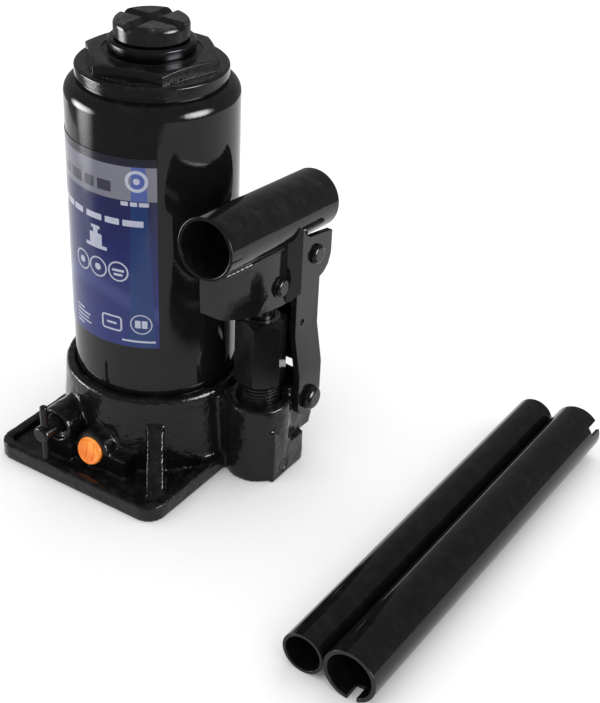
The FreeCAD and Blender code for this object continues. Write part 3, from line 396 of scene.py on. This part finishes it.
def latheMesh(name, profile, steps, turn):
    made = bmesh.new()
    rows = []
    for radius, height in profile:
        if radius < 1e-7:
            rows.append([made.verts.new((0, 0, height))])
            continue
        rows.append([made.verts.new((radius * math.cos(k * math.tau / steps),
                                     radius * math.sin(k * math.tau / steps), height))
                     for k in range(steps)])
    for low, high in zip(rows, rows[1:]):
        for k in range(steps):
            n = (k + 1) % steps
            if len(low) == 1:
                made.faces.new((low[0], high[n], high[k]))
            elif len(high) == 1:
                made.faces.new((low[k], low[n], high[0]))
            else:
                made.faces.new((low[k], low[n], high[n], high[k]))
    bmesh.ops.recalc_face_normals(made, faces=made.faces)
    bmesh.ops.transform(made, matrix=turn, verts=made.verts)
    mesh = bpy.data.meshes.new(name)
    made.to_mesh(mesh)
    made.free()
    mesh.shade_smooth()
    return mesh


# base casting, cast rough and thickly painted
castFacts = {"voxel": 0.0008, "rounds": 5, "lump": 0.00022, "lumpSize": 0.007,
             "grain": 0.00006, "grainSize": 0.0021, "footRise": 0.0012, "seatRadius": 0.0402,
             "seatFoot": 0.024}


def makeCasting(facts):
    mesh = nodes["base_casting"].data.copy()
    thing = bpy.data.objects.new("castBase", mesh)
    scene.collection.objects.link(thing)
    weld = thing.modifiers.new("weld", "WELD")
    weld.merge_threshold = joinGap
    shell = thing.modifiers.new("shell", "REMESH")
    shell.mode, shell.voxel_size = "VOXEL", facts["voxel"]
    calm = thing.modifiers.new("calm", "SMOOTH")
    calm.factor, calm.iterations = 0.5, facts["rounds"]
    mesh = bakeModifiers(thing)
    count = len(mesh.vertices)
    spots = np.empty(count * 3)
    mesh.vertices.foreach_get("co", spots)
    spots = spots.reshape(-1, 3)
    ways = np.array([v.normal for v in mesh.vertices])
    push = np.empty(count)
    for k, spot in enumerate(spots):
        where = Vector(spot)
        big = noise.fractal(where / facts["lumpSize"], 0.9, 2.0, 3)
        small = noise.noise(where / facts["grainSize"])
        push[k] = facts["lump"] * big + facts["grain"] * small
    low = np.clip(spots[:, 2] / facts["footRise"], 0, 1)      # the foot stays flat on the floor
    inside = np.hypot(spots[:, 0], spots[:, 1]) < facts["seatRadius"]
    seat = inside & (spots[:, 2] > facts["seatFoot"])      # the tank's seat stays true
    push *= low * np.where(seat, 0.0, 1.0)
    spots += ways * push[:, None]
    spots[:, 2] = np.maximum(spots[:, 2], 0)
    mesh.vertices.foreach_set("co", spots.ravel())
    mesh.update()
    mesh.shade_smooth()
    mesh.materials.clear()
    mesh.materials.append(castPaint)
    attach(thing, "jack_body")
    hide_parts("base_casting")
    print("casting has", len(mesh.polygons), "faces")
    return thing


makeCasting(castFacts)


# beads of paint along edges
def addBead(made, where, size, flat):
    turn = Matrix.Translation(where) @ Matrix.Diagonal((size, size, size * flat, 1))
    bmesh.ops.create_icosphere(made, subdivisions=3, radius=1.0, matrix=turn)


def beadRow(made, points, spacing, sizes, rows):
    walk = 0.0
    for a, b in zip(points, points[1:]):
        run = (b - a).length
        while walk < run:
            spot = a.lerp(b, walk / run)
            luck = noise.cell(spot * 2311.0)
            other = noise.cell(spot * 4127.0 + Vector((3, 1, 2)))
            size = sizes[0] + (sizes[1] - sizes[0]) * abs(luck)
            if abs(other) > rows:
                addBead(made, spot + Vector((0, 0, size * 0.2 * luck)), size, 0.8)
            walk += spacing * (0.6 + abs(other))
        walk -= run


def arcPoints(radius, start, end, z):
    steps = 24
    turns = [math.radians(start + (end - start) * k / steps) for k in range(steps + 1)]
    return [Vector((radius * math.cos(a), radius * math.sin(a), z)) for a in turns]


beadFacts = {
    "plate": {"spacing": 0.0021, "sizes": (0.00022, 0.00055), "rows": 0.25},
    "corner": {"spacing": 0.0013, "sizes": (0.0003, 0.0006), "rows": 0.1},
    "collar": {"spacing": 0.0030, "sizes": (0.0002, 0.0004), "rows": 0.35},
    "nut": {"spacing": 0.0010, "sizes": (0.00022, 0.00048), "rows": 0.2},
    "plateEdge": 0.0007, "plateTop": 0.0079, "cornerArc": (0.0482, -58, -22, 0.0056),
    "collarArc": (0.0446, -80, -24, 0.0449), "nutArc": (0.0300, -118, -18), "nutShelf": 0.0054,
}


def beadPiece(name, made):
    mesh = bpy.data.meshes.new(name)
    made.to_mesh(mesh)
    made.free()
    mesh.shade_smooth()
    newPiece(name, mesh, tankPaint, "jack_body")


def makeBeads(facts):
    made = bmesh.new()
    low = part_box("base_casting")[0]
    front = [Vector((x, low.y + facts["plateEdge"], facts["plateTop"]))
             for x in (low.x + 0.010, -0.01, 0.030)]
    beadRow(made, front, **facts["plate"])
    beadRow(made, arcPoints(*facts["cornerArc"]), **facts["corner"])
    beadRow(made, arcPoints(*facts["collarArc"]), **facts["collar"])
    beadPiece("castPaintBeads", made)
    made = bmesh.new()
    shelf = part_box("top_nut")[1].z - facts["nutShelf"]
    beadRow(made, arcPoints(*facts["nutArc"], shelf), **facts["nut"])
    beadPiece("nutPaintBeads", made)


makeBeads(beadFacts)
print("paint beads are on")


# weld between socket and bracket
weldFacts = {"radius": 0.0013, "ripple": 0.035, "step": 0.0005, "sides": 12, "cheek": 0.0096,
             "nose": 0.0052, "shoulder": -0.020, "noseRun": 0.0185, "ear": 0.0139,
             "earStart": 0.0120, "earEnd": 0.0315}


def sweep(name, points, radii, sides):
    made = bmesh.new()
    rings = []
    for k, spot in enumerate(points):
        ahead = points[min(k + 1, len(points) - 1)] - points[max(k - 1, 0)]
        turn = ahead.normalized().to_track_quat("Z", "Y")
        ring = []
        for n in range(sides):
            a = math.tau * n / sides
            ring.append(made.verts.new(spot + turn @ Vector((math.cos(a), math.sin(a), 0))
                                       * radii[k]))
        rings.append(ring)
    for low, high in zip(rings, rings[1:]):
        for n in range(sides):
            m = (n + 1) % sides
            made.faces.new((low[n], low[m], high[m], high[n]))
    made.faces.new(list(reversed(rings[0])))
    made.faces.new(rings[-1])
    bmesh.ops.recalc_face_normals(made, faces=made.faces)
    mesh = bpy.data.meshes.new(name)
    made.to_mesh(mesh)
    made.free()
    mesh.shade_smooth()
    return mesh


def socketLine():       # front end and direction of the tube's axis
    for mount in frame["record"]["mounts"]:
        if mount["name"] == "handle_socket_bore":
            return Vector(mount["pos_m"]), Vector(mount["axis"])


def makeWelds(facts):
    low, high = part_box("handle_socket")
    tubeRadius = (high.x - low.x) / 2
    front, way = socketLine()
    slope = way.z / way.y
    runs = []
    for side, label in ((1, "Outer"), (-1, "Inner")):
        runs.append((side, "socketWeld" + label, low.y + 0.0062, 0.0065, None))
        runs.append((side, "earWeld" + label, facts["earStart"], facts["earEnd"], facts["ear"]))
    for side, name, start, end, reach in runs:
        points, radii = [], []
        count = int((end - start) / facts["step"])
        for k in range(count + 1):
            y = start + (end - start) * k / count
            taper = max(0.0, facts["shoulder"] - y) / facts["noseRun"]
            half = reach or facts["cheek"] - (facts["cheek"] - facts["nose"]) * min(1.0, taper)
            z = front.z + (y - front.y) * slope - math.sqrt(tubeRadius ** 2 - half ** 2)
            wave = 1 + facts["ripple"] * math.sin(y * 2600) + 0.12 * noise.noise(
                Vector((0, y * 300, side)))
            fade = min(1.0, (k + 1) / 5, (count - k + 1) / 5)
            points.append(Vector((front.x + side * (half + 0.0001), y, z - 0.0002)))
            radii.append(facts["radius"] * wave * fade)
        mesh = sweep(name, points, radii, facts["sides"])
        newPiece(name, mesh, stampedPaint, "handle_socket")


makeWelds(weldFacts)
print("welds are on")


# safety valve's plug cap
plugFacts = {"radius": 0.0070, "tall": 0.0024, "rim": 0.0009, "sunk": 0.0007, "tip": 13.0,
             "colour": (0.86, 0.19, 0.012, 1), "worn": (0.95, 0.36, 0.05, 1)}


def plugPlastic(facts):
    made, tree, shader = newMaterial("plugPlastic")
    skin = useGroup(tree, paintSkin, {"Peel Size": 0.0006, "Wave Size": 0.003, "Wave": 1.0})
    dusty = useGroup(tree, dustGroup, {"Amount": 0.25, "Size": 0.0008})
    colour = blendColour(tree, skin["Patch"], facts["colour"], facts["worn"])
    colour = blendColour(tree, dusty["Mask"], colour, (0.75, 0.55, 0.4, 1))
    bump = node(tree, "ShaderNodeBump", {"Height": skin["Height"], "Strength": 1.0,
                                         "Distance": 0.00002})
    tree.links.new(colour, shader.inputs["Base Color"])
    rough = sums(tree, "MULTIPLY_ADD", skin["Patch"], 0.15, 0.28)
    tree.links.new(rough, shader.inputs["Roughness"])
    tree.links.new(bump.outputs["Normal"], shader.inputs["Normal"])
    shader.inputs["Subsurface Weight"].default_value = 0.08
    shader.inputs["Subsurface Radius"].default_value = (0.002, 0.0008, 0.0003)
    return made


def makePlug(facts):
    low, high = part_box("safety_valve_plug")
    centre = Vector(((low.x + high.x) / 2, low.y + facts["tall"], (low.z + high.z) / 2))
    r, t, rim, sunk = (facts[name] for name in ("radius", "tall", "rim", "sunk"))
    profile = [(0, -0.0004), (r * 0.72, -0.0004), (r * 0.97, 0.0), (r, t * 0.2), (r, t * 0.62),
               (r - 0.00015, t * 0.84), (r - 0.0005, t * 0.97), (r - rim * 0.8, t),
               (r - rim * 1.2, t - sunk * 0.15), (r - rim * 1.5, t - sunk * 0.6),
               (r - rim * 1.9, t - sunk * 0.95), (r - rim * 2.6, t - sunk), (r * 0.3, t - sunk),
               (0, t - sunk)]
    turn = (Matrix.Translation(centre) @ Matrix.Rotation(math.radians(90 - facts["tip"]), 4, "X"))
    cap = latheMesh("plugCap", profile, 72, turn)
    made = bmesh.new()
    made.from_mesh(cap)
    for across in (-0.0021, 0.0021):       # two moulded ribs in the hollow
        half = math.sqrt((r - rim * 1.8) ** 2 - across ** 2) - 0.0002
        ring = []
        for k in range(28):
            a = math.tau * k / 28
            wide = 0.00052
            x = math.copysign(abs(math.cos(a)) ** 0.7, math.cos(a)) * wide
            y = math.copysign(abs(math.sin(a)) ** 0.35, math.sin(a)) * half
            ring.append((x, y))
        base = [made.verts.new(turn @ Vector((across + x, y, t - sunk - 0.0002))) for x, y in ring]
        top = [made.verts.new(turn @ Vector((across + x * 0.7, y * 0.97, t - sunk * 0.25)))
               for x, y in ring]
        for k in range(28):
            n = (k + 1) % 28
            made.faces.new((base[k], base[n], top[n], top[k]))
        made.faces.new(top)
        made.faces.new(list(reversed(base)))
    bmesh.ops.recalc_face_normals(made, faces=made.faces)
    made.to_mesh(cap)
    made.free()
    cap.shade_smooth()
    thing = newPiece("plugCap", cap, plugPlastic(facts), "jack_body")
    edge = thing.modifiers.new("edge", "BEVEL")
    edge.width, edge.segments, edge.limit_method = 0.00012, 2, "ANGLE"
    edge.angle_limit = math.radians(50)
    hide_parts("safety_valve_plug")


makePlug(plugFacts)
print("plug is made")


# printed label
labelFacts = {"start": -146.5, "foot": 71.5, "radius": 39.85,
              "deep": (0.010, 0.011, 0.040, 1), "blue": (0.013, 0.018, 0.115, 1),
              "stripe": (0.010, 0.028, 0.100, 1), "band": (0.145, 0.145, 0.175, 1),
              "strip": (0.012, 0.012, 0.020, 1), "print": (0.34, 0.35, 0.43, 1),
              "ink": (0.03, 0.03, 0.045, 1)}


def makeMark():
    tree, given, out = newGroup("labelMark", [
        ("U", "Float", 0.0), ("V", "Float", 0.0), ("Middle U", "Float", 0.0),
        ("Middle V", "Float", 0.0), ("Half Width", "Float", 1.0), ("Half Height", "Float", 1.0),
        ("Round", "Float", 0.0), ("Line", "Float", 0.0)], [("Mask", "Float")])
    over = sums(tree, "ABSOLUTE", sums(tree, "SUBTRACT", given["U"], given["Middle U"]))
    rise = sums(tree, "ABSOLUTE", sums(tree, "SUBTRACT", given["V"], given["Middle V"]))
    a = sums(tree, "SUBTRACT", over, sums(tree, "SUBTRACT", given["Half Width"], given["Round"]))
    b = sums(tree, "SUBTRACT", rise, sums(tree, "SUBTRACT", given["Half Height"],
                                          given["Round"]))
    aOut = sums(tree, "MAXIMUM", a, 0.0)
    bOut = sums(tree, "MAXIMUM", b, 0.0)
    far = sums(tree, "SQRT", sums(tree, "MULTIPLY_ADD", aOut, aOut,
                                  sums(tree, "MULTIPLY", bOut, bOut)))
    near = sums(tree, "MINIMUM", sums(tree, "MAXIMUM", a, b), 0.0)
    gap = sums(tree, "SUBTRACT", sums(tree, "ADD", far, near), given["Round"])
    hollow = sums(tree, "SUBTRACT", sums(tree, "ABSOLUTE", gap),
                  sums(tree, "MULTIPLY", given["Line"], 0.5))
    isLine = sums(tree, "GREATER_THAN", given["Line"], 0.01)
    chosen = node(tree, "ShaderNodeMix", {0: isLine, 2: gap, 3: hollow}).outputs[0]
    tree.links.new(ramp(tree, chosen, -0.12, 0.12, 1.0, 0.0), out["Mask"])
    return tree


def labelPrint(facts):
    made, tree, shader = newMaterial("labelPrint")
    mark = makeMark()
    split = node(tree, "ShaderNodeSeparateXYZ", {0: place(tree)})
    angle = sums(tree, "ARCTAN2", split.outputs["Y"], split.outputs["X"])
    u = sums(tree, "MULTIPLY", sums(tree, "SUBTRACT", angle, math.radians(facts["start"])),
             facts["radius"])
    v = sums(tree, "MULTIPLY_ADD", split.outputs["Z"], 1000.0, -facts["foot"])

    def shape(middleU, middleV, halfWidth, halfHeight, curve=0.0, line=0.0):
        return useGroup(tree, mark, {"U": u, "V": v, "Middle U": middleU, "Middle V": middleV,
                                     "Half Width": halfWidth, "Half Height": halfHeight,
                                     "Round": curve, "Line": line})["Mask"]

    def together(shapes):
        total = shapes[0]
        for other in shapes[1:]:
            total = sums(tree, "MAXIMUM", total, other)
        return total

    where = place(tree)
    clouds = noiseOf(tree, where, 42.0, 2.0, 0.5, 0.6)
    rise = sums(tree, "MULTIPLY_ADD", v, -0.011, 0.95, clamp=True)
    mixed = sums(tree, "MULTIPLY_ADD", sums(tree, "SUBTRACT", clouds, 0.5), 0.7, rise, clamp=True)
    colour = blendColour(tree, mixed, facts["deep"], facts["blue"])
    sweepLine = sums(tree, "MULTIPLY_ADD", sums(tree, "SINE", sums(tree, "MULTIPLY", u, 0.055)),
                     9.0, 22.0)
    swoosh = sums(tree, "ABSOLUTE", sums(tree, "SUBTRACT", v, sweepLine))
    colour = blendColour(tree, ramp(tree, swoosh, 1.0, 6.5, 0.30, 0.0), colour,
                         (0.06, 0.08, 0.22, 1))
    wide = sums(tree, "MULTIPLY_ADD", v, -0.035, 6.4)
    stripeGap = sums(tree, "SUBTRACT", sums(tree, "ABSOLUTE", sums(tree, "SUBTRACT", u, 59.5)),
                     wide)
    colour = blendColour(tree, ramp(tree, stripeGap, -0.5, 0.4, 0.9, 0.0), colour,
                         facts["stripe"])
    band = sums(tree, "MULTIPLY", ramp(tree, v, 74.8, 75.2), ramp(tree, v, 91.0, 91.4, 1.0, 0.0))
    bandTone = blendColour(tree, ramp(tree, u, 0.0, 66.0), (0.10, 0.10, 0.135, 1), facts["band"])
    colour = blendColour(tree, band, colour, bandTone)
    colour = blendColour(tree, sums(tree, "MULTIPLY", band, ramp(tree, stripeGap, -0.5, 0.4, 0.85,
                                                               0.0)), colour,
                         (0.045, 0.075, 0.26, 1))
    colour = blendColour(tree, ramp(tree, v, 91.0, 91.4), colour, facts["strip"])

    dark = [shape(middle, 80.5, half, 2.6, 0.5) for middle, half in
            ((9.0, 3.6), (17.0, 2.6), (25.5, 4.2), (34.5, 3.0), (43.0, 3.6))]
    colour = blendColour(tree, together(dark), colour, facts["ink"])
    pale = [shape(58.5, 84.5, 4.4, 4.4, 4.4, 1.5), shape(58.5, 84.5, 1.5, 1.5, 1.5)]
    pale += [shape(middle, 73.5, half, 1.0, 0.3) for middle, half in
             ((52.8, 1.7), (57.0, 1.6), (61.6, 2.2))]
    pale += [shape(middle, 64.0, half, 1.5, 0.4) for middle, half in
             ((12.0, 2.6), (18.5, 2.8), (26.0, 3.4), (36.5, 4.6), (46.5, 3.6), (56.5, 4.8))]
    pale += [shape(37.2, 48.8, 6.2, 0.9, 0.4), shape(37.2, 52.4, 3.6, 3.0, 0.8),
             shape(37.2, 56.4, 1.4, 1.6, 0.2), shape(37.2, 58.4, 2.6, 0.8, 0.3)]
    for middle, turned in ((27.5, 38.4), (37.9, 38.4), (48.8, 38.8)):
        pale.append(shape(middle, turned, 4.7, 4.7, 4.7, 0.75))
    for middle in (27.5, 37.9):
        pale.append(shape(middle, 38.4, 1.7, 1.7, 1.7))
    pale += [shape(48.8, 39.4, 3.0, 0.6, 0.2), shape(48.8, 37.2, 2.2, 0.6, 0.2)]
    for k, half in enumerate((3.4, 5.6, 5.0, 5.9, 3.0)):
        pale.append(shape(20.0 + half, 12.0 - k * 2.1, half, 0.42, 0.1))
    pale += [shape(44.6, 11.2, 5.0, 3.6, 1.4, 0.9), shape(44.6, 11.2, 2.6, 0.55, 0.2)]
    pale += [shape(59.2, 12.5, 4.9, 4.9, 4.9, 0.55), shape(57.6, 12.5, 1.3, 2.0, 0.3),
             shape(60.8, 12.5, 1.3, 2.0, 0.3), shape(57.8, 3.2, 8.0, 0.5, 0.2)]
    worn = ramp(tree, noiseOf(tree, where, 900.0, 2.0), 0.32, 0.42, 0.75, 1.0)
    colour = blendColour(tree, sums(tree, "MULTIPLY", together(pale), worn), colour,
                         facts["print"])

    skin = useGroup(tree, paintSkin, {"Peel Size": 0.0009, "Wave Size": 0.012, "Wave": 1.4})
    dusty = useGroup(tree, dustGroup, {"Amount": 0.2, "Size": 0.0009})
    colour = blendColour(tree, dusty["Mask"], colour, (0.3, 0.3, 0.32, 1))
    bump = node(tree, "ShaderNodeBump", {"Height": skin["Height"], "Strength": 1.0,
                                         "Distance": 0.000016})
    tree.links.new(colour, shader.inputs["Base Color"])
    rough = sums(tree, "MULTIPLY_ADD", skin["Patch"], 0.05, 0.12)
    tree.links.new(rough, shader.inputs["Roughness"])
    tree.links.new(bump.outputs["Normal"], shader.inputs["Normal"])
    shader.inputs["Specular IOR Level"].default_value = 0.3
    return made


paintNode("tank_label", labelPrint(labelFacts))
print("label is printed")


# floor and light
def addFloor(name, corners, level, glossy, colour):
    mesh = bpy.data.meshes.new(name)
    mesh.from_pydata([(x, y, level) for x, y in corners], [], [tuple(range(len(corners)))])
    thing = bpy.data.objects.new(name, mesh)
    scene.collection.objects.link(thing)
    thing.visible_glossy = glossy
    made, tree, shader = newMaterial(name)
    grain = noiseOf(tree, place(tree), 300.0, 3.0)
    tone = blendColour(tree, grain, colour, tuple(c * 0.985 for c in colour[:3]) + (1,))
    tree.links.new(tone, shader.inputs["Base Color"])
    shader.inputs["Roughness"].default_value = 0.9
    shader.inputs["Specular IOR Level"].default_value = 0.0
    mesh.materials.append(made)
    return thing


sheetCorners = [(0.52, -0.25), (0.30, -0.31), (0.12, -0.25), (-0.06, -0.23), (-0.20, -0.18),
                (-0.42, -0.12), (-0.52, 0.30), (0.0, 0.60), (0.52, 0.40)]
for name, corners, level, glossy in (
        ("floorSheet", sheetCorners, 0.0, True),
        ("studioFloor", [(-6, -6), (6, -6), (6, 6), (-6, 6)], -0.00005, False)):
    addFloor(name, corners, level, glossy, (0.9, 0.9, 0.9, 1)).visible_shadow = False


windows = {"right": {"azimuth": 7.0, "height": 12.0, "wide": 27.0, "tall": 25.0, "fade": 0.75,
                     "power": 30.0},
           "left": {"azimuth": -150.5, "height": -6.0, "wide": 25.0, "tall": 22.0, "fade": 0.75,
                    "power": 24.0}}      # soft studio windows, in degrees


def windowLight(tree, bearing, level, facts):
    aside = sums(tree, "SUBTRACT", bearing, facts["azimuth"])
    aside = sums(tree, "WRAP", aside, 180.0, -180.0)
    across = sums(tree, "DIVIDE", aside, facts["wide"])
    above = sums(tree, "DIVIDE", sums(tree, "SUBTRACT", level, facts["height"]), facts["tall"])
    squarish = 2.4      # 2 is an ellipse, and more has fuller corners
    across = sums(tree, "POWER", sums(tree, "ABSOLUTE", across), squarish)
    above = sums(tree, "POWER", sums(tree, "ABSOLUTE", above), squarish)
    far = sums(tree, "POWER", sums(tree, "ADD", across, above), 1 / squarish)
    edge = ramp(tree, far, 1.0 - facts["fade"], 1.0, 1.0, 0.0)
    return sums(tree, "MULTIPLY", edge, facts["power"])


skyFacts = {"seen": 1.0, "shine": 0.27, "soft": 1.3}      # strength for each kind of ray


def addWorld(facts):
    world = bpy.data.worlds.new("studio")
    scene.world = world
    world.use_nodes = True
    tree = world.node_tree
    tree.nodes.clear()
    way = node(tree, "ShaderNodeTexCoord").outputs["Generated"]
    split = node(tree, "ShaderNodeSeparateXYZ", {0: way})
    x, y, z = (split.outputs[axis] for axis in "XYZ")
    degree = math.degrees(1)
    bearing = sums(tree, "MULTIPLY", sums(tree, "ARCTAN2", y, x), degree)
    level = sums(tree, "MULTIPLY", sums(tree, "ARCSINE", z), degree)
    light = facts["shine"]
    for window in windows.values():
        light = sums(tree, "ADD", windowLight(tree, bearing, level, window), light)
    seen, shine, soft = (
        node(tree, "ShaderNodeBackground", {"Color": (1, 1, 1, 1), "Strength": strength})
        for strength in (facts["seen"], light, facts["soft"]))
    path = node(tree, "ShaderNodeLightPath")
    first = node(tree, "ShaderNodeMixShader", {0: path.outputs["Is Glossy Ray"],
                                               1: soft.outputs[0], 2: shine.outputs[0]})
    both = node(tree, "ShaderNodeMixShader", {0: path.outputs["Is Camera Ray"],
                                              1: first.outputs[0], 2: seen.outputs[0]})
    node(tree, "ShaderNodeOutputWorld", {0: both.outputs[0]})


addWorld(skyFacts)
print("lights are set")
